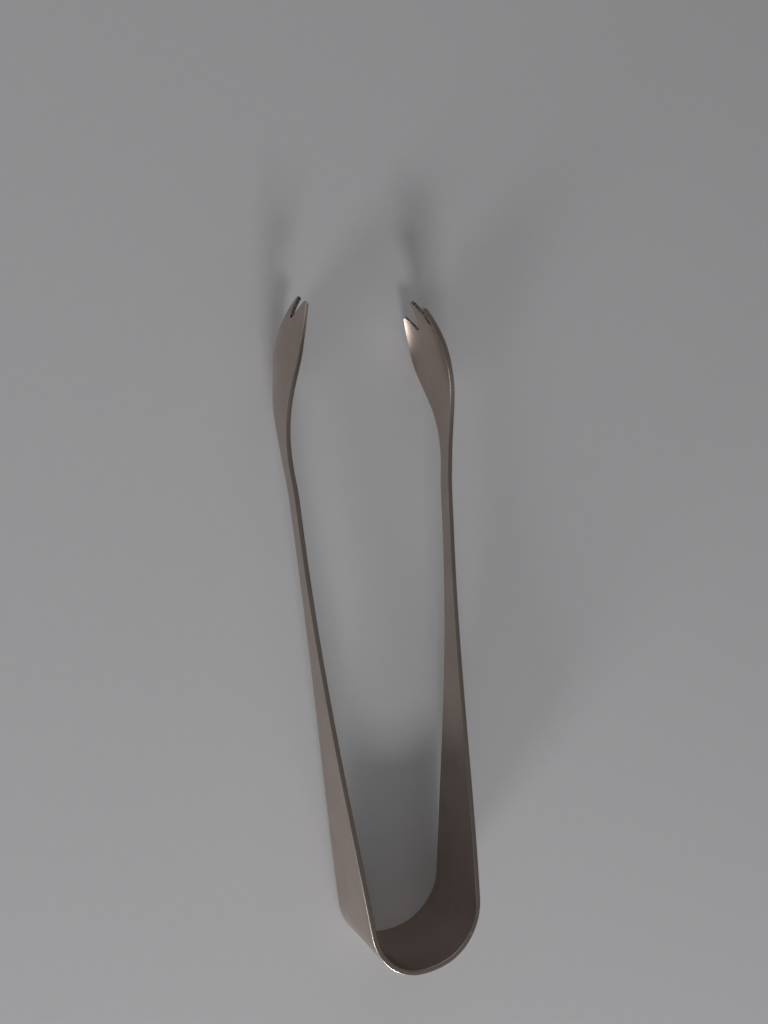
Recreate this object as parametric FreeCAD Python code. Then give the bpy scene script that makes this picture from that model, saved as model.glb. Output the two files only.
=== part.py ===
"""Spring tongs for ice or sugar, bent from one tapered strip of stainless spring steel.

The strip runs up one arm, round a wide bow at the hand end and back down the other arm.  Each
arm ends in a dished claw with three tines.  The tongs lie on one edge of the strip: X runs from
the left arm to the right one, Y from the bow to the claws, and Z up across the strip's width.
The origin is on the lower edge of the bow, at its crown, in the middle of the thickness.

The real strip is one piece of metal that bends.  Here it is divided across at its neck and at
the three lines on each side about which the bow and the arm flex.  At a flex line the outer
zone ends in a half round that turns in a matching groove in the zone before it.
"""

import FreeCAD
import Part

import math
import os

Vector = FreeCAD.Vector

# ---------------------------------------------------------------- driving dimensions, mm and deg
strip_thickness = 1.2
crown_width = 20.5          # across the strip at the bow, where its edges run parallel
neck_width = 3.95           # across the strip at its narrowest, just before the claw

# the strip's mid-line, as a chain of tangent arcs from the crown to the end of the middle tine
crown_radius = 20.0
crown_half_angle = 11.0
shoulder_radius = 12.8
arm_lean = 4.85             # how far each arm leans outwards where it leaves the bow
arm_length = 100.0
arm_settle = 2.15           # lean that the arm loses over its length, so that it bows slightly
kick_radius = 60.0
kick_angle = 4.5            # outward kick in the neck, just before the claw
claw_back_radius = 124.0
claw_back_angle = 13.3
hook_radius = 27.0
hook_angle = 35.0

# the width of the strip along that line
plain_neck_length = 14.8    # parallel stretch of the neck, just before the claw
taper_ease = 0.87
claw_width = 17.3
claw_nose_length = 14.6     # from the claw's widest place to the end of the middle tine
flare_ease = 1.32
claw_side_radius = 23.6     # rounding of the claw's sides from the belly towards the tines

# the claw's dish is flat at the neck, and its hollow closes to this radius at the tine's end
dish_radius = 9.8

# tines, measured along and round the dish from the bottom of the slots
centre_tine_length = 7.2
outer_tine_length = 4.6
slot_offset = 3.1           # from the middle of the claw to the middle of a slot's bottom
slot_bottom_width = 0.5
centre_tine_tip_width = 0.8
outer_tine_tip_width = 0.4

# flex lines
grip_length = 39.0          # from the end of the shoulder to the flex line in the arm
flex_clearance = 0.03       # radial, between the half round and its groove

# construction allowances
overrun = 2.0               # by which a cutting shape runs past what it cuts
outline_stations = 16       # places where the taper's outline is worked out
claw_sections = 15
slot_sections = 4
points_across = 9           # points that shape one cross-section of the dish
nearly_flat = 1e-6          # curvature, per mm, under which a cross-section is drawn straight

mid_height = crown_width / 2


# ---------------------------------------------------------------- the mid-line
# each arc is (radius, angle turned); a positive angle turns towards the other arm
def arc_of_length(length, angle):
    return (length / math.radians(angle), angle)


crown_arc = (crown_radius, crown_half_angle)
shoulder_arc = (shoulder_radius, 90.0 - arm_lean - crown_half_angle)
arm_arc = arc_of_length(arm_length, arm_settle)
kick_arc = (kick_radius, -kick_angle)
claw_arcs = [(claw_back_radius, claw_back_angle), (hook_radius, hook_angle)]
mid_line = [crown_arc, shoulder_arc, arm_arc, kick_arc] + claw_arcs


def arc_length(arc):
    radius, angle = arc
    return radius * math.radians(abs(angle))


crown_end = arc_length(crown_arc)
shoulder_end = crown_end + arc_length(shoulder_arc)
grip_end = shoulder_end + grip_length
neck_end = shoulder_end + arm_length + arc_length(kick_arc)
taper_length = neck_end - plain_neck_length - crown_end
claw_length = sum(arc_length(arc) for arc in claw_arcs)

# distances from the neck, along the claw
claw_belly = claw_length - claw_nose_length
slot_bottom = claw_length - centre_tine_length
outer_tine_end = slot_bottom + outer_tine_length


def mid_line_at(distance):
    """Point on the right half of the mid-line and its heading, in radians from +X."""
    x, y, heading = 0.0, 0.0, 0.0
    left = distance
    for arc in mid_line:
        radius, angle = arc
        side = math.copysign(1.0, angle)
        length = arc_length(arc)
        last = arc is mid_line[-1]
        step = left if last or left < length else length
        turned = heading + side * step / radius
        x += side * radius * (math.sin(turned) - math.sin(heading))
        y += side * radius * (math.cos(heading) - math.cos(turned))
        heading = turned
        left -= step
        if left <= 0:
            break
    return x, y, heading


def strip_point(distance, inwards, height=0.0):
    """Point beside the mid-line: `inwards` of it, towards the other arm, and `height` above it."""
    x, y, heading = mid_line_at(distance)
    return Vector(x - inwards * math.sin(heading), y + inwards * math.cos(heading), height)


# ---------------------------------------------------------------- half the width along the strip
def arm_half_width(distance):
    share = min(max((distance - crown_end) / taper_length, 0.0), 1.0)
    fall = math.cos(math.pi / 2 * share ** taper_ease) ** 2
    return neck_width / 2 + (crown_width - neck_width) / 2 * fall


def claw_half_width(distance):
    """Half the width across the claw, `distance` after the neck."""
    past_belly = distance - claw_belly
    if past_belly > 0:
        return claw_width / 2 - past_belly ** 2 / (2 * claw_side_radius)
    rise = math.sin(math.pi / 2 * (distance / claw_belly) ** flare_ease) ** 2
    return neck_width / 2 + (claw_width - neck_width) / 2 * rise


# ---------------------------------------------------------------- flat zones of the strip
def ribbon(start, end, rounded_start):
    """Face of the strip's side view from one distance to another, in the XY plane."""
    half = strip_thickness / 2
    joints = [start]
    reached = 0.0
    for arc in mid_line:
        reached += arc_length(arc)
        if start < reached < end:
            joints.append(reached)
    joints.append(end)
    spans = list(zip(joints[:-1], joints[1:]))
    edges = []
    for a, b in spans:
        points = [strip_point(s, -half) for s in (a, (a + b) / 2, b)]
        edges.append(Part.Arc(*points).toShape())
    edges.append(Part.makeLine(strip_point(end, -half), strip_point(end, half)))
    for a, b in reversed(spans):
        points = [strip_point(s, half) for s in (b, (a + b) / 2, a)]
        edges.append(Part.Arc(*points).toShape())
    if rounded_start:
        x, y, heading = mid_line_at(start)
        nose = Vector(x - half * math.cos(heading), y - half * math.sin(heading), 0)
        cap = Part.Arc(strip_point(start, half), nose, strip_point(start, -half)).toShape()
    else:
        cap = Part.makeLine(strip_point(start, half), strip_point(start, -half))
    edges.append(cap)
    return Part.Face(Part.Wire(edges))


def flex_groove(distance):
    """Cutter for the groove in which the next zone's half round turns."""
    x, y, _ = mid_line_at(distance)
    radius = strip_thickness / 2 + flex_clearance
    height = crown_width + 2 * overrun
    return Part.makeCylinder(radius, height, Vector(x, y, -overrun))


def arm_outline():
    """Solid with the arm's tapering width, seen from the side, that trims the arm's zones."""
    upper = []
    for i in range(outline_stations + 1):
        distance = crown_end + (neck_end - crown_end) * i / outline_stations
        upper.append(Vector(0, mid_line_at(distance)[1], arm_half_width(distance)))
    lower = [Vector(0, point.y, -point.z) for point in reversed(upper)]
    curves = []
    for points in (upper, lower):
        curve = Part.BSplineCurve()
        curve.interpolate(points)
        curves.append(curve.toShape())
    beyond = Vector(0, overrun, 0)
    far_line = [upper[-1], upper[-1] + beyond, lower[0] + beyond, lower[0]]
    near_line = [lower[-1], lower[-1] - beyond, upper[0] - beyond, upper[0]]
    far_edges = [Part.makeLine(a, b) for a, b in zip(far_line[:-1], far_line[1:])]
    near_edges = [Part.makeLine(a, b) for a, b in zip(near_line[:-1], near_line[1:])]
    face = Part.Face(Part.Wire([curves[0]] + far_edges + [curves[1]] + near_edges))
    solid = face.extrude(Vector(mid_line_at(neck_end)[0] + overrun, 0, 0))
    solid.translate(Vector(0, 0, mid_height))
    return solid


def crown():
    solid = ribbon(0.0, crown_end, False).extrude(Vector(0, 0, crown_width))
    solid = solid.fuse(solid.mirror(Vector(0, 0, 0), Vector(1, 0, 0))).removeSplitter()
    groove = flex_groove(crown_end)
    return solid.cut(groove).cut(groove.mirror(Vector(0, 0, 0), Vector(1, 0, 0)))


def arm_zone(start, end, outline, flexes_at_end):
    """Zone of the right arm, with a half round at its start and, if it flexes, a groove at its end."""
    solid = ribbon(start, end, True).extrude(Vector(0, 0, crown_width)).common(outline)
    if flexes_at_end:
        solid = solid.cut(flex_groove(end))
    return solid


# ---------------------------------------------------------------- the dished claw
def dish_curvature(distance):
    return distance / (claw_length * dish_radius)


def dish_point(distance, across, inwards):
    """Point in the claw: `across` is measured round the dish, `inwards` square to the metal."""
    curvature = dish_curvature(distance)
    if curvature < nearly_flat:
        return strip_point(neck_end + distance, inwards, across)
    radius = 1 / curvature
    angle = across / radius
    depth = radius - (radius - inwards) * math.cos(angle)
    height = (radius - inwards) * math.sin(angle)
    return strip_point(neck_end + distance, depth, height)


def dish_section(distance, across_from, across_to, half_depth):
    """Closed wire round a strip of the dish, `distance` after the neck."""
    step = (across_to - across_from) / (points_across - 1)
    stations = [across_from + step * i for i in range(points_across)]
    edges = []
    for inwards in (-half_depth, half_depth):
        curve = Part.BSplineCurve()
        curve.interpolate([dish_point(distance, across, inwards) for across in stations])
        edges.append(curve.toShape())
    for across in (across_from, across_to):
        start = dish_point(distance, across, -half_depth)
        edges.append(Part.makeLine(start, dish_point(distance, across, half_depth)))
    return Part.Wire([edges[0], edges[3], edges[1], edges[2]])


def dish_loft(start, end, sections, limits, half_depth):
    """Solid along the dish; `limits` gives how far it reaches across, at each distance."""
    wires = []
    for i in range(sections):
        distance = start + (end - start) * i / (sections - 1)
        wires.append(dish_section(distance, *limits(distance), half_depth))
    return Part.makeLoft(wires, True, False)


def line_between(distance, start, end):
    """Value at a distance on the straight line through two (distance, value) points."""
    share = (distance - start[0]) / (end[0] - start[0])
    return start[1] + (end[1] - start[1]) * share


def claw_sides(distance):
    half_width = claw_half_width(distance)
    return -half_width, half_width


def slot_sides(distance):
    """How far from the middle of the claw the two walls of the upper slot are."""
    half_bottom = slot_bottom_width / 2
    outer_tine_corner = claw_half_width(outer_tine_end) - outer_tine_tip_width
    inner = line_between(distance, (slot_bottom, slot_offset - half_bottom),
                         (claw_length, centre_tine_tip_width / 2))
    outer = line_between(distance, (slot_bottom, slot_offset + half_bottom),
                         (outer_tine_end, outer_tine_corner))
    return inner, outer


def beyond_outer_tine(distance):
    middle_of_slot = sum(slot_sides(distance)) / 2
    return middle_of_slot, claw_width / 2 + overrun


def claw():
    depth = strip_thickness / 2
    past_tip = claw_length + overrun
    cutters = [
        dish_loft(slot_bottom, past_tip, slot_sections, slot_sides, depth + overrun),
        dish_loft(outer_tine_end, past_tip, slot_sections, beyond_outer_tine, depth + overrun),
    ]
    solid = dish_loft(0.0, claw_length, claw_sections, claw_sides, depth)
    for cutter in cutters:
        solid = solid.cut(cutter).cut(cutter.mirror(Vector(0, 0, 0), Vector(0, 0, 1)))
    solid.translate(Vector(0, 0, mid_height))
    return solid


# ---------------------------------------------------------------- the parts
def export(name, shape):
    solids = shape.Solids
    if len(solids) != 1 or not solids[0].isValid():
        raise RuntimeError(f"{name} isn't one valid solid")
    solids[0].exportStep(f"parts/{name}.step")
    box = shape.BoundBox
    print(f"{name}: {shape.Volume:.1f} mm3, x {box.XMin:.2f} to {box.XMax:.2f}, "
          f"y {box.YMin:.2f} to {box.YMax:.2f}, z {box.ZMin:.2f} to {box.ZMax:.2f}")


os.makedirs("parts", exist_ok=True)
outline = arm_outline()
right_side = {
    "shoulder": arm_zone(crown_end, shoulder_end, outline, True),
    "grip": arm_zone(shoulder_end, grip_end, outline, True),
    "shank": arm_zone(grip_end, neck_end, outline, False),
    "claw": claw(),
}
export("bow_crown", crown())
for zone, shape in right_side.items():
    export(f"right_{zone}", shape)
    export(f"left_{zone}", shape.mirror(Vector(0, 0, 0), Vector(1, 0, 0)))

for name, distance in (("crown", crown_end), ("shoulder", shoulder_end), ("grip", grip_end)):
    x, y, _ = mid_line_at(distance)
    print(f"flex line at the end of the {name}: x {x:.4f}, y {y:.4f}")
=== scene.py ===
import bpy
import numpy as np
from mathutils import Matrix, Vector


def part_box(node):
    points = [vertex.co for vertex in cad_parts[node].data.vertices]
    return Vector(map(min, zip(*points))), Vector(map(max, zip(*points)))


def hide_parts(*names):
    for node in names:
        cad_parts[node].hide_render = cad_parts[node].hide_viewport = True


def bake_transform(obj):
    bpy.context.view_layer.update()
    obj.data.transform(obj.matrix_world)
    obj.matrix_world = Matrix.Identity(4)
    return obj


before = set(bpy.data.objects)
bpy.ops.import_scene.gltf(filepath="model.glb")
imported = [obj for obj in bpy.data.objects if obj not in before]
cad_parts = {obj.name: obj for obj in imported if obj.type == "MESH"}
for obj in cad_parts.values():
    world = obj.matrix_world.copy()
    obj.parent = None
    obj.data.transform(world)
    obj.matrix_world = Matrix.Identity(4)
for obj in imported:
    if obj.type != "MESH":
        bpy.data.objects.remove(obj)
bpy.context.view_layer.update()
mm = 0.001

# the strip that the tongs are bent from, in millimetres and degrees
strip = {
    "thickness": 1.2,
    "edgeRun": 0.22,           # rounding of the rims, left by deburring and polishing: how far in it starts,
    "edgeDrop": 0.28,          # and how much of the thickness it takes on each side
    "neckWidth": 3.95,
    "taperEase": 0.87,
    "plainNeck": 14.8,         # parallel stretch of the neck, just before the claw
    "crownArc": (20.0, 11.0),  # radius, and angle turned towards the other arm
    "shoulderArc": (12.8, 74.15),
    "armLength": 100.0,
    "armSettle": 2.15,
    "kickArc": (60.0, -4.5),
    "clawBackArc": (124.0, 13.3),
    "hookArc": (27.0, 35.0),
}

# the dished claw at each end, in millimetres
claw = {
    "width": 17.3,
    "noseLength": 14.6,        # from the widest place to the end of the middle tine
    "flareEase": 1.32,
    "sideRadius": 23.6,
    "dishRadius": 9.8,
    "tipThickness": 1.0,       # the outer face is pressed in from the widest place onwards
    "slotDepth": 7.55,         # from the end of the mid-line to the bottom of the slots
    "slotRound": 0.07,         # the slots are left as punched, with hardly any rounding
    "tipRound": 0.16,
    "middleTine": 7.1,         # lengths from the bottom of the slots
    "outerTine": 4.8,
    "slotOffset": 3.1,
    "slotWidth": 0.85,         # at the bottom, where it is round
    "middleTip": 0.5,
    "outerTip": 0.75,
    "tipBlunt": 0.8,           # 1 brings a tine to a point, 0 leaves it square
}

# how finely the surfaces are divided, in millimetres or as counts
mesh = {
    "bowStep": 0.45,
    "armStep": 0.8,
    "clawStep": 0.34,
    "tineStep": 0.16,
    "closeStep": 0.06,         # beside the bottom of the slots
    "seamStep": 0.04,          # first row beside a cut, so that the light runs on over it
    "roundSteps": 5,
    "besideRound": 1.25,       # last line of a rounding, in roundings from the edge, keeps the flat flat
    "roundShare": 0.36,        # the most that a rounding's lines take of a narrow tine
    "bottomAngles": (20, 38, 56, 73, 90),                # rows round the bottom of a slot, in degrees
    "tipRows": (0.7, 0.45, 0.26, 0.13, 0.05, 0.0),       # rows before a tip, in tip radii
    "tipGap": 0.3,             # between them and the even rows, in tip radii
    "neckRun": 20.0,           # the claw's finer rows start this far before the neck's end
    "closeRun": 0.6,           # and the closest ones this far before the slots
    "acrossArm": 20,
    "acrossOuterTine": 10,
    "acrossMiddleTine": 12,
    "wallSteps": 4,
}


# ---- the mid-line of the strip: a chain of arcs that run into each other
def arcOfLength(length, angle):
    return (length / np.radians(angle), angle)


arcs = [strip["crownArc"], strip["shoulderArc"], arcOfLength(strip["armLength"], strip["armSettle"]),
        strip["kickArc"], strip["clawBackArc"], strip["hookArc"]]
bends = np.array([np.sign(angle) / radius for radius, angle in arcs])
lengths = np.array([radius * np.radians(abs(angle)) for radius, angle in arcs])
ends = np.cumsum(lengths)
starts = ends - lengths
crownEnd = ends[0]
neckEnd = ends[3]
clawLength = ends[5] - neckEnd
headings = np.concatenate([[0.0], np.cumsum(bends * lengths)])
stepX = (np.sin(headings[1:]) - np.sin(headings[:-1])) / bends
stepY = (np.cos(headings[:-1]) - np.cos(headings[1:])) / bends
startX = np.concatenate([[0.0], np.cumsum(stepX)])
startY = np.concatenate([[0.0], np.cumsum(stepY)])


def midLine(distance):
    # on an arc of curvature k from heading h0: x grows by (sin h - sin h0)/k, y by (cos h0 - cos h)/k
    arc = np.clip(np.searchsorted(starts, distance, side="right") - 1, 0, len(arcs) - 1)
    heading = headings[arc] + bends[arc] * (distance - starts[arc])
    x = startX[arc] + (np.sin(heading) - np.sin(headings[arc])) / bends[arc]
    y = startY[arc] + (np.cos(headings[arc]) - np.cos(heading)) / bends[arc]
    return x, y, heading


# ---- how wide the strip is
lowCorner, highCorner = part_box("bow_crown")
crownWidth = (highCorner.z - lowCorner.z) / mm
midHeight = (highCorner.z + lowCorner.z) / 2 / mm
taperLength = neckEnd - strip["plainNeck"] - crownEnd
belly = clawLength - claw["noseLength"]
slotBottom = clawLength - claw["slotDepth"]
outerEnd = slotBottom + claw["outerTine"]


def halfWidth(distance):
    # the arm narrows as a cosine squared, the claw widens as a sine squared and rounds off as a parabola
    share = np.clip((distance - crownEnd) / taperLength, 0, 1)
    neck = strip["neckWidth"] / 2
    arm = neck + (crownWidth / 2 - neck) * np.cos(np.pi / 2 * share ** strip["taperEase"]) ** 2
    along = distance - neckEnd
    rise = np.sin(np.pi / 2 * np.clip(along / belly, 0, 1) ** claw["flareEase"]) ** 2
    flare = neck + (claw["width"] / 2 - neck) * rise
    nose = claw["width"] / 2 - np.clip(along - belly, 0, None) ** 2 / (2 * claw["sideRadius"])
    return np.where(along < 0, arm, np.where(along < belly, flare, nose))


def slotWalls(along):
    # the two walls of a slot are straight lines in the flat; the bottom of the slot is a half circle
    half = claw["slotWidth"] / 2
    inner = claw["slotOffset"] - half + (claw["middleTip"] / 2 - claw["slotOffset"] + half) \
        * (along - slotBottom) / claw["slotDepth"]
    corner = halfWidth(neckEnd + outerEnd) - claw["outerTip"]
    outer = claw["slotOffset"] + half + (corner - claw["slotOffset"] - half) \
        * (along - slotBottom) / claw["outerTine"]
    middle, gap = (inner + outer) / 2, (outer - inner) / 2
    into = np.clip((along - slotBottom) / half, 0, 1)
    gap = gap * np.sqrt(1 - (1 - into) ** 2)
    return middle - gap, middle + gap


def stripPoint(distance, across, inwards):
    # inwards runs from the outer face, -thickness/2, to the inner face, which stays put where the strip thins
    half = strip["thickness"] / 2
    thinning = np.clip((distance - neckEnd - belly) / claw["noseLength"], 0, 1)
    inwards = half - (half - inwards) * (1 - (1 - claw["tipThickness"] / strip["thickness"]) * thinning)
    # across is measured round the dish; a dish of radius r lies at depth r - (r - inwards) cos(across / r)
    x, y, heading = midLine(distance)
    bend = np.clip((distance - neckEnd) / (clawLength * claw["dishRadius"]), 1e-6, None)
    depth = 1 / bend - (1 / bend - inwards) * np.cos(across * bend)
    height = (1 / bend - inwards) * np.sin(across * bend)
    return np.stack([x - depth * np.sin(heading), y + depth * np.cos(heading), midHeight + height], -1)


def halfThickness(fromEdge, run=strip["edgeRun"], drop=strip["edgeDrop"]):
    # full in the middle; near an edge it falls as a quarter ellipse, run wide and drop deep
    return strip["thickness"] / 2 - drop + drop * np.sqrt(1 - (1 - np.clip(fromEdge / run, 0, 1)) ** 2)


# ---- grids of points on the strip, and the shells made of them
turn = np.radians(np.linspace(0, 90, mesh["roundSteps"] + 1))
nearEdge = np.append(1 - np.cos(turn), mesh["besideRound"])


def rowsThrough(start, stretches):
    # distances from start through (end, step) stretches
    rows = [np.array([start])]
    for end, step in stretches:
        count = max(int(round((end - rows[-1][-1]) / step)), 1)
        rows.append(np.linspace(rows[-1][-1], end, count + 1)[1:])
    return np.concatenate(rows)


def acrossColumns(low, high, count):
    # columns close together within the rounding of both sides, and evenly spread between
    room = np.minimum(strip["edgeRun"], (high - low) * mesh["roundShare"])[:, None]
    nearLow = low[:, None] + room * nearEdge
    nearHigh = high[:, None] - room * nearEdge[::-1]
    between = np.linspace(0, 1, count + 2)[1:-1]
    middle = nearLow[:, -1:] + (nearHigh[:, :1] - nearLow[:, -1:]) * between
    return np.hstack([nearLow, middle, nearHigh])


faceFinish, slotFinish = 0, 1   # which of the two finishes a face gets


def newShell():
    return {"points": [], "places": [], "rims": [], "faces": [], "finish": [], "flat": []}


def addPoints(shell, distance, across, inwards, rim=1.0):
    # puts an array of points into the shell and gives back their numbers, in the same layout
    distance, across, inwards = np.broadcast_arrays(distance, across, inwards)
    first = sum(len(points) for points in shell["points"])
    shell["points"].append(stripPoint(distance, across, inwards).reshape(-1, 3))
    shell["places"].append(np.stack([distance, across, inwards], -1).reshape(-1, 3))
    shell["rims"].append(np.broadcast_to(rim, distance.shape).ravel())
    return np.arange(first, first + distance.size).reshape(distance.shape)


def addSkin(shell, grid, flip, finish):
    # quads between neighbours of a grid of point numbers; finish is one number, or one for each row
    quads = np.stack([grid[:-1, :-1], grid[1:, :-1], grid[1:, 1:], grid[:-1, 1:]], -1).reshape(-1, 4)
    shell["faces"] += (quads[:, ::-1] if flip else quads).tolist()
    finishes = np.broadcast_to(finish, grid.shape[0] - 1)
    shell["finish"] += np.repeat(finishes, grid.shape[1] - 1).tolist()
    shell["flat"] += [False] * len(quads)


def addWall(shell, rim, finish):
    # the flat of the edge along a rim, between the border of the upper skin and that of the lower one
    upper, lower, distance, across, half = rim
    share = np.linspace(1, -1, mesh["wallSteps"] + 1)[1:-1]
    fill = addPoints(shell, distance[:, None], across[:, None], half[:, None] * share)
    addSkin(shell, np.hstack([upper[:, None], fill, lower[:, None]]), True, finish)
    return fill


def addCap(shell, upperRow, lowerRow, highFill, lowFill, flip):
    # closes a cut: along the upper border, down one wall, back along the lower border, up the other wall
    loop = np.concatenate([upperRow, highFill, lowerRow[::-1], lowFill[::-1]])
    shell["faces"].append((loop[::-1] if flip else loop).tolist())
    shell["finish"].append(faceFinish)
    shell["flat"].append(True)


def rimShare(half):
    # 0 on the flat of the strip, 1 where the rounding meets the wall
    return (strip["thickness"] / 2 - half) / strip["edgeDrop"]


def rimOf(plate, rows, columns):
    # the points of a plate along one of its borders
    return [plate[name][rows, columns] for name in ("upper", "lower", "distance", "across", "half")]


def armShell(start, end, step):
    # a plain stretch of the strip, cut square at both ends
    shell = newShell()
    seam = mesh["seamStep"]
    rows = rowsThrough(start, [(start + seam, seam), (end - seam, step), (end, seam)])
    width = halfWidth(rows)
    across = acrossColumns(-width, width, mesh["acrossArm"])
    half = halfThickness(width[:, None] - np.abs(across))
    plate = {"distance": np.broadcast_to(rows[:, None], across.shape), "across": across, "half": half}
    plate["upper"] = addPoints(shell, plate["distance"], across, half, rimShare(half))
    plate["lower"] = addPoints(shell, plate["distance"], across, -half, rimShare(half))
    addSkin(shell, plate["upper"], True, faceFinish)
    addSkin(shell, plate["lower"], False, faceFinish)
    highFill = addWall(shell, rimOf(plate, slice(None), -1), faceFinish)
    lowFill = addWall(shell, rimOf(plate, slice(None, None, -1), 0), faceFinish)[::-1]
    for row in (0, -1):
        addCap(shell, plate["upper"][row], plate["lower"][row], highFill[row], lowFill[row], row == 0)
    return shell


def tineRows(start, length, tipRound):
    # close rows round the bottom of the slot and round the tip
    bottom = start + claw["slotWidth"] / 2 * (1 - np.cos(np.radians(mesh["bottomAngles"])))
    tip = start + length - tipRound * np.array(mesh["tipRows"])
    even = rowsThrough(bottom[-1], [(tip[0] - tipRound * mesh["tipGap"], mesh["tineStep"])])
    return np.concatenate([bottom, even[1:], tip])


def clawShell(start):
    # the upper arm with its claw: three plates side by side, joined up to the bottom of the slots
    shell = newShell()
    seam, slotRadius = mesh["seamStep"], claw["slotWidth"] / 2
    slotStart = neckEnd + slotBottom
    shared = rowsThrough(start, [(start + seam, seam), (neckEnd - mesh["neckRun"], mesh["armStep"]),
                                 (slotStart - mesh["closeRun"], mesh["clawStep"]),
                                 (slotStart, mesh["closeStep"])])
    width = halfWidth(shared)
    border = width * claw["slotOffset"] / halfWidth(slotStart)
    plates = []
    for side in (-1, 0, 1):
        length = claw["outerTine"] if side else claw["middleTine"]
        tipRound = claw["outerTip"] / 2 if side else claw["middleTip"] / 2
        rows = tineRows(slotStart, length, tipRound)
        inner, outer = slotWalls(rows - neckEnd)
        if side:
            low, high = np.append(border, outer), np.append(width, halfWidth(rows))
        else:
            low, high = np.append(-border, -inner), np.append(border, inner)
        if side < 0:
            low, high = -high, -low
        rows = np.append(shared, rows)
        end = slotStart + length
        intoTip = np.clip((rows - end + tipRound) / tipRound, 0, 1)
        middle, reach = (low + high) / 2, (high - low) / 2 * np.sqrt(1 - claw["tipBlunt"] * intoTip ** 2)
        low, high = middle - reach, middle + reach
        across = acrossColumns(low, high, mesh["acrossOuterTine" if side else "acrossMiddleTine"])
        fromLow, fromHigh = across - low[:, None], high[:, None] - across
        # the bottom of a slot is a half circle, so the distance to it is measured from its centre
        fromCentre = rows[:, None] - slotStart - slotRadius
        beside = np.hypot(fromCentre, np.abs(across) - claw["slotOffset"]) - slotRadius
        belowSlot = rows[:, None] < slotStart + slotRadius
        fromSlot = np.where(belowSlot, beside, np.minimum(fromLow, fromHigh) if side == 0 else
                            (fromHigh if side < 0 else fromLow))
        fromRim = strip["edgeRun"] if side == 0 else (fromLow if side < 0 else fromHigh)
        half = np.minimum(halfThickness(fromRim),
                          halfThickness(fromSlot, claw["slotRound"], claw["slotRound"]))
        half = np.minimum(half, halfThickness(end - rows[:, None], claw["tipRound"], claw["tipRound"]))
        distance = np.broadcast_to(rows[:, None], across.shape)
        plate = {"distance": distance, "across": across, "half": half}
        for skin, sign in (("upper", 1), ("lower", -1)):
            own = (slice(len(shared)), slice(0 if side < 0 else 1, None))
            past = slice(len(shared), None)
            joined = addPoints(shell, distance[own], across[own], sign * half[own], rimShare(half[own]))
            if side >= 0:
                joined = np.hstack([plates[-1][skin][:len(shared), -1:], joined])
            tine = addPoints(shell, distance[past], across[past], sign * half[past], rimShare(half[past]))
            plate[skin] = np.vstack([joined, tine])
            addSkin(shell, plate[skin], sign > 0, faceFinish)
        plates.append(plate)

    # one rim right round: up the high side, over each tine's end, down into each slot, back down the low side
    split = len(shared) - 1
    back = slice(-2, None, -1)
    tines = ((plates[2], 0, split), (plates[1], split + 1, split), (plates[0], split + 1, 0))
    rims = []
    for plate, first, last in tines:
        stop = last - 1 if last else None
        for rows, columns in ((slice(first, None), -1), (-1, back), (slice(-2, stop, -1), 0)):
            rims.append(rimOf(plate, rows, columns))
    # the long outer sides keep the finish of the faces
    finishes = [np.full(len(rim[0]), slotFinish) for rim in rims]
    finishes[0][:] = finishes[-1][:] = faceFinish
    rim = [np.concatenate(columns) for columns in zip(*rims)]
    fill = addWall(shell, rim, np.concatenate(finishes)[:-1])
    upperRow, lowerRow = [np.concatenate([plates[0][skin][0]] + [plate[skin][0, 1:] for plate in plates[1:]])
                          for skin in ("upper", "lower")]
    addCap(shell, upperRow, lowerRow, fill[0], fill[-1], True)
    return shell


# ---- finishes
def linearColour(code):
    # an sRGB hex value turned to linear light
    part = np.array([int(code[i:i + 2], 16) for i in (1, 3, 5)]) / 255
    linear = np.where(part <= 0.04045, part / 12.92, ((part + 0.055) / 1.055) ** 2.4)
    return (*linear.tolist(), 1.0)


def addNode(material, kind, sockets=None, **settings):
    # one node with its settings; a socket takes a value, or another node's output
    tree = material.node_tree
    node = tree.nodes.new(kind)
    for name, value in settings.items():
        setattr(node, name, value)
    for name, value in (sockets or {}).items():
        if isinstance(value, bpy.types.NodeSocket):
            tree.links.new(value, node.inputs[name])
        else:
            node.inputs[name].default_value = value
    return node


def emptyMaterial(name):
    material = bpy.data.materials.new(name)
    material.use_nodes = True
    material.node_tree.nodes.clear()
    return material


satin = {
    "light": "#BDAFA6",
    "dark": "#B2A39A",
    "roughness": (0.27, 0.33),
    "roughRange": (0.7, 1.3),  # of lines and smudges added up, which gives those two
    "tintRange": (0.75, 1.25),
    "rimRoughness": 0.15,      # the rims are tumbled and polished, so they catch small bright lights
    "lineSpacing": 0.22,       # mm; real satin lines are 0.05 mm apart, drawn coarser so that they show
    "lineLength": 14.0,        # mm
    "lineDepth": 0.0012,       # mm
    "lineStrength": 0.5,
    "smudgeSize": 9.0,         # mm
}


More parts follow.
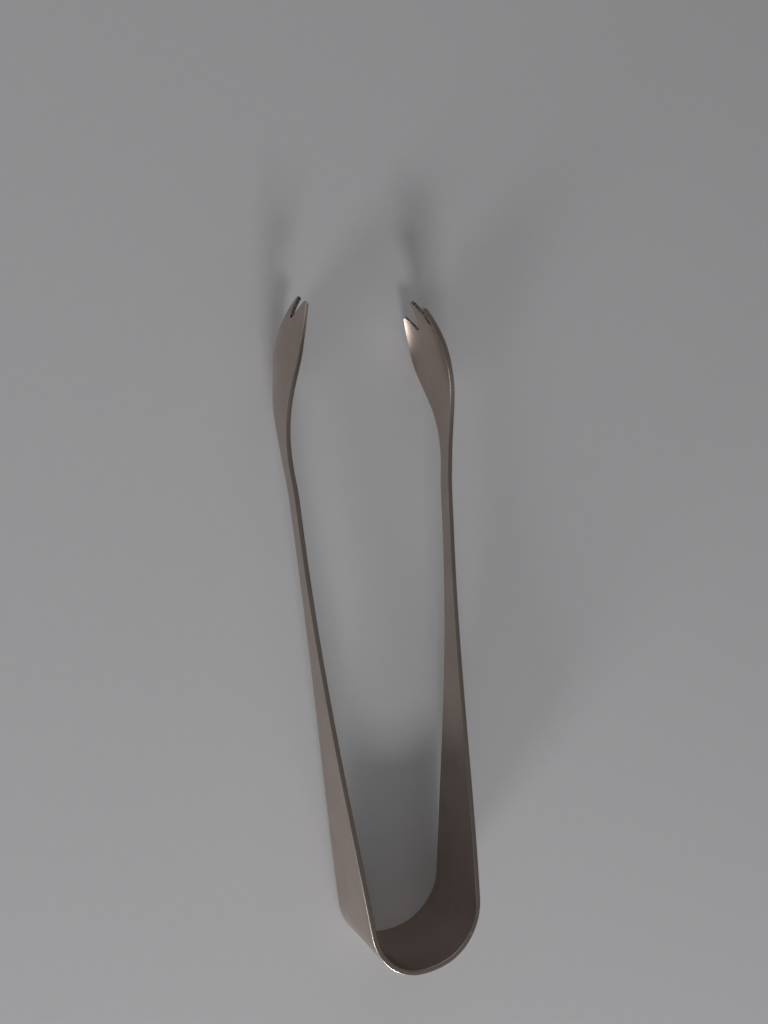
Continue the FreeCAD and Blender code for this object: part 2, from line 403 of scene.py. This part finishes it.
def satinStainless():
    # 18/8 stainless steel sheet, satin polished along the strip: fine lengthwise lines, soft broad highlights
    material = emptyMaterial("satinStainless")
    place = addNode(material, "ShaderNodeAttribute", attribute_name="stripPlace").outputs["Vector"]
    rim = addNode(material, "ShaderNodeAttribute", attribute_name="rimShare").outputs["Fac"]
    lengthwise, crosswise = 1 / (satin["lineLength"] * mm), 1 / (satin["lineSpacing"] * mm)
    alongLines = addNode(material, "ShaderNodeMapping", {
        "Vector": place, "Scale": (lengthwise, crosswise, crosswise)}).outputs["Vector"]
    lines = addNode(material, "ShaderNodeTexNoise",
                    {"Vector": alongLines, "Scale": 1.0, "Detail": 3.0, "Roughness": 0.6}).outputs["Fac"]
    smudges = addNode(material, "ShaderNodeTexNoise", {
        "Vector": place, "Scale": 1 / (satin["smudgeSize"] * mm), "Detail": 2.0}).outputs["Fac"]
    mixed = addNode(material, "ShaderNodeMath", {0: lines, 1: smudges}, operation="ADD").outputs["Value"]
    (least, most), (low, high) = satin["roughRange"], satin["roughness"]
    faceRoughness = addNode(material, "ShaderNodeMapRange", {
        "Value": mixed, "From Min": least, "From Max": most, "To Min": low, "To Max": high}).outputs["Result"]
    roughness = addNode(material, "ShaderNodeMix", {
        0: rim, 2: faceRoughness, 3: satin["rimRoughness"]}, data_type="FLOAT").outputs[0]
    least, most = satin["tintRange"]
    tint = addNode(material, "ShaderNodeMapRange", {"Value": mixed, "From Min": least, "From Max": most})
    colour = addNode(material, "ShaderNodeMix", {0: tint.outputs["Result"], 6: linearColour(satin["light"]),
                                                 7: linearColour(satin["dark"])}, data_type="RGBA")
    bump = addNode(material, "ShaderNodeBump", {
        "Height": lines, "Strength": satin["lineStrength"], "Distance": satin["lineDepth"] * mm})
    metal = addNode(material, "ShaderNodeBsdfPrincipled", {
        "Base Color": colour.outputs[2], "Roughness": roughness,
        "Normal": bump.outputs["Normal"], "Metallic": 1.0})
    addNode(material, "ShaderNodeOutputMaterial", {"Surface": metal.outputs["BSDF"]})
    return material


sheared = {
    "light": "#A99F95",
    "dark": "#3A332E",
    "roughness": (0.4, 0.6),
    "roughRange": (0.3, 0.7),  # of the hatch, which gives those two
    "tintRange": (0.42, 0.6),
    "hatchSpacing": 0.42,      # mm along the wall; real drag marks are finer, and these are coarser to show
    "hatchRun": 0.15,          # how fast the hatch changes across the thickness, as a share of along
    "hatchDepth": 0.03,        # mm
    "hatchStrength": 0.6,
    "burnished": "#AFA298",    # the smooth band that the punch leaves beside the outer face
    "burnishFrom": -0.40,      # mm from the middle of the thickness, and how far it takes to fade out
    "burnishFade": 0.12,
}


def shearedStainless():
    # the walls of the slots as the punch left them: dull, with drag marks across the thickness
    material = emptyMaterial("shearedStainless")
    place = addNode(material, "ShaderNodeAttribute", attribute_name="stripPlace").outputs["Vector"]
    spacing = sheared["hatchSpacing"] * mm
    hatchScale = (1 / spacing, 1 / spacing, sheared["hatchRun"] / spacing)
    across = addNode(material, "ShaderNodeMapping", {
        "Vector": place, "Scale": hatchScale}).outputs["Vector"]
    hatch = addNode(material, "ShaderNodeTexNoise",
                    {"Vector": across, "Scale": 1.0, "Detail": 2.0, "Roughness": 0.6}).outputs["Fac"]
    least, most = sheared["tintRange"]
    tint = addNode(material, "ShaderNodeMapRange", {"Value": hatch, "From Min": least, "From Max": most})
    (least, most), (low, high) = sheared["roughRange"], sheared["roughness"]
    roughness = addNode(material, "ShaderNodeMapRange", {
        "Value": hatch, "From Min": least, "From Max": most, "To Min": low, "To Max": high})
    torn = addNode(material, "ShaderNodeMix", {
        0: tint.outputs["Result"], 6: linearColour(sheared["dark"]),
        7: linearColour(sheared["light"])}, data_type="RGBA").outputs[2]
    inwards = addNode(material, "ShaderNodeSeparateXYZ", {"Vector": place}).outputs["Z"]
    start, fade = sheared["burnishFrom"] * mm, sheared["burnishFade"] * mm
    burnish = addNode(material, "ShaderNodeMapRange", {
        "Value": inwards, "From Min": start, "From Max": start - fade}).outputs["Result"]
    colour = addNode(material, "ShaderNodeMix", {
        0: burnish, 6: torn, 7: linearColour(sheared["burnished"])}, data_type="RGBA")
    roughness = addNode(material, "ShaderNodeMix", {
        0: burnish, 2: roughness.outputs["Result"], 3: satin["rimRoughness"]}, data_type="FLOAT")
    bump = addNode(material, "ShaderNodeBump", {
        "Height": hatch, "Strength": sheared["hatchStrength"], "Distance": sheared["hatchDepth"] * mm})
    metal = addNode(material, "ShaderNodeBsdfPrincipled", {
        "Base Color": colour.outputs[2], "Roughness": roughness.outputs[0],
        "Normal": bump.outputs["Normal"], "Metallic": 1.0})
    addNode(material, "ShaderNodeOutputMaterial", {"Surface": metal.outputs["BSDF"]})
    return material


finishes = [satinStainless(), shearedStainless()]
print("finishes made")


# ---- the pieces
def makePiece(name, shell, mirrored):
    points = np.concatenate(shell["points"]) * mm
    faces = shell["faces"]
    if mirrored:
        points = points * (-1, 1, 1)
        faces = [face[::-1] for face in faces]
    data = bpy.data.meshes.new(name)
    data.from_pydata(points.tolist(), [], faces)
    data.polygons.foreach_set("material_index", np.array(shell["finish"], np.int32))
    data.polygons.foreach_set("use_smooth", ~np.array(shell["flat"]))
    attribute = data.attributes.new("stripPlace", "FLOAT_VECTOR", "POINT")
    attribute.data.foreach_set("vector", (np.concatenate(shell["places"]) * mm).astype(np.float32).ravel())
    attribute = data.attributes.new("rimShare", "FLOAT", "POINT")
    attribute.data.foreach_set("value", np.concatenate(shell["rims"]).astype(np.float32))
    for finish in finishes:
        data.materials.append(finish)
    data.update()
    piece = bpy.data.objects.new(name, data)
    bpy.context.scene.collection.objects.link(piece)
    return piece


# where the strip is cut into pieces, in millimetres
cuts = {"shoulder": 12.2, "arm": 40.0}

shells = {
    "bow": armShell(0.0, cuts["shoulder"], mesh["bowStep"]),
    "lower_arm": armShell(cuts["shoulder"], cuts["arm"], mesh["bowStep"]),
    "upper_arm": clawShell(cuts["arm"]),
}
for side, sign in (("left", -1), ("right", 1)):
    spans = (
        ("bow", "bow", "bow_crown", f"{side}_shoulder", Vector((sign, 0, 0)), ["shoulder"]),
        ("lower_arm", "shoulder", f"{side}_shoulder", f"{side}_lower_arm", Vector((0, 1, 0)), ["grip"]),
        ("upper_arm", "arm", f"{side}_lower_arm", f"{side}_upper_arm", Vector((0, 1, 0)), ["shank", "claw"]),
    )
    for zone, flex, before, after, direction, nodes in spans:
        piece = makePiece(f"{side}_{zone}_strip", shells[zone], side == "left")
        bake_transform(piece)
        replaced = [f"{side}_{node}" for node in nodes]
        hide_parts(*(replaced + (["bow_crown"] if flex == "bow" else [])))
    print(f"{side} arm made")


# ---- floor, light and camera
table = {
    "colour": "#D9D9DB",
    "mottle": "#D5D5D8",
    "mottleScale": 400.0,      # per metre
    "roughness": 0.7,
    "size": 3.0,               # metres
    "clawRest": (147.0, 1.54),   # where the claws touch it, in millimetres
}


def paleTable():
    # a matt painted or laminate top: even, pale grey, no gloss to speak of
    material = emptyMaterial("paleTable")
    place = addNode(material, "ShaderNodeTexCoord").outputs["Object"]
    mottle = addNode(material, "ShaderNodeTexNoise", {
        "Vector": place, "Scale": table["mottleScale"], "Detail": 2.0}).outputs["Fac"]
    colour = addNode(material, "ShaderNodeMix", {0: mottle, 6: linearColour(table["colour"]),
                                                 7: linearColour(table["mottle"])}, data_type="RGBA")
    surface = addNode(material, "ShaderNodeBsdfPrincipled", {
        "Base Color": colour.outputs[2], "Roughness": table["roughness"]})
    addNode(material, "ShaderNodeOutputMaterial", {"Surface": surface.outputs["BSDF"]})
    return material


reachY, riseZ = table["clawRest"]
slope = riseZ / reachY
corners = np.array([[-1, -1], [1, -1], [1, 1], [-1, 1]]) * table["size"] / 2
floorData = bpy.data.meshes.new("table")
floorData.from_pydata([(x, y, y * slope) for x, y in corners.tolist()], [], [(0, 1, 2, 3)])
floorData.materials.append(paleTable())
floor = bpy.data.objects.new("table", floorData)
bpy.context.scene.collection.objects.link(floor)

studio = {
    "target": Vector((0, 80, 5)) * mm,
    "distance": 1.2,           # metres
    "windows": (
        # azimuth and elevation of the light in degrees, width and height in metres, strength in watts
        (-98, 22, (0.34, 0.13), 5.2),
        (-138, 10, (0.32, 0.38), 5.4),
    ),
    # brightness of the room at its sides, what front and back add to that, and what overhead adds
    "room": (0.105, 0.75, 0.045),
}
for azimuth, elevation, size, strength in studio["windows"]:
    across, up = np.radians(azimuth), np.radians(elevation)
    direction = Vector((np.cos(across) * np.cos(up), np.sin(across) * np.cos(up), np.sin(up)))
    lamp = bpy.data.lights.new("window", "AREA")
    lamp.shape, lamp.size, lamp.size_y, lamp.energy = "RECTANGLE", *size, strength
    light = bpy.data.objects.new("window", lamp)
    light.location = studio["target"] + direction * studio["distance"]
    light.rotation_euler = direction.to_track_quat("Z", "Y").to_euler()
    bpy.context.scene.collection.objects.link(light)

world = bpy.data.worlds.new("room")
world.use_nodes = True
world.node_tree.nodes.clear()
towards = addNode(world, "ShaderNodeTexCoord").outputs["Generated"]
parts = addNode(world, "ShaderNodeSeparateXYZ", {"Vector": towards}).outputs
sides, frontBack, overhead = studio["room"]
# brightness = sides + frontBack * y^4 + overhead * z^2, where y and z are of the direction looked in
squared = addNode(world, "ShaderNodeMath", {0: parts["Y"], 1: parts["Y"]},
                  operation="MULTIPLY").outputs["Value"]
lengthwise = addNode(world, "ShaderNodeMath", {0: squared, 1: squared},
                     operation="MULTIPLY").outputs["Value"]
upwards = addNode(world, "ShaderNodeMath", {0: parts["Z"], 1: parts["Z"]},
                  operation="MULTIPLY").outputs["Value"]
strength = addNode(world, "ShaderNodeMath", {0: lengthwise, 1: frontBack, 2: sides},
                   operation="MULTIPLY_ADD").outputs["Value"]
strength = addNode(world, "ShaderNodeMath", {0: upwards, 1: overhead, 2: strength},
                   operation="MULTIPLY_ADD").outputs["Value"]
room = addNode(world, "ShaderNodeBackground", {"Color": (1, 1, 1, 1), "Strength": strength})
addNode(world, "ShaderNodeOutputWorld", {"Surface": room.outputs["Background"]})
bpy.context.scene.world = world
bpy.context.scene.view_settings.view_transform = "Standard"

view = {
    "place": Vector((-84.7, 110.4, 179.95)) * mm,
    "looking": Vector((0.456, -0.015, -0.890)).normalized(),
    "up": Vector((0.083, 0.996, 0.025)),
    "lens": 27.32,             # millimetres
    "sensorHeight": 36,        # millimetres
    "clipStart": 0.005,        # metres
}
cameraData = bpy.data.cameras.new("camera")
cameraData.sensor_fit = "VERTICAL"
cameraData.sensor_height = view["sensorHeight"]
cameraData.lens = view["lens"]
cameraData.clip_start = view["clipStart"]
camera = bpy.data.objects.new("camera", cameraData)
rightward = view["looking"].cross(view["up"]).normalized()
upward = rightward.cross(view["looking"])
turned = Matrix((rightward, upward, -view["looking"])).transposed().to_4x4()
camera.matrix_world = Matrix.Translation(view["place"]) @ turned
bpy.context.scene.collection.objects.link(camera)
bpy.context.scene.camera = camera
print("table, light and camera set")
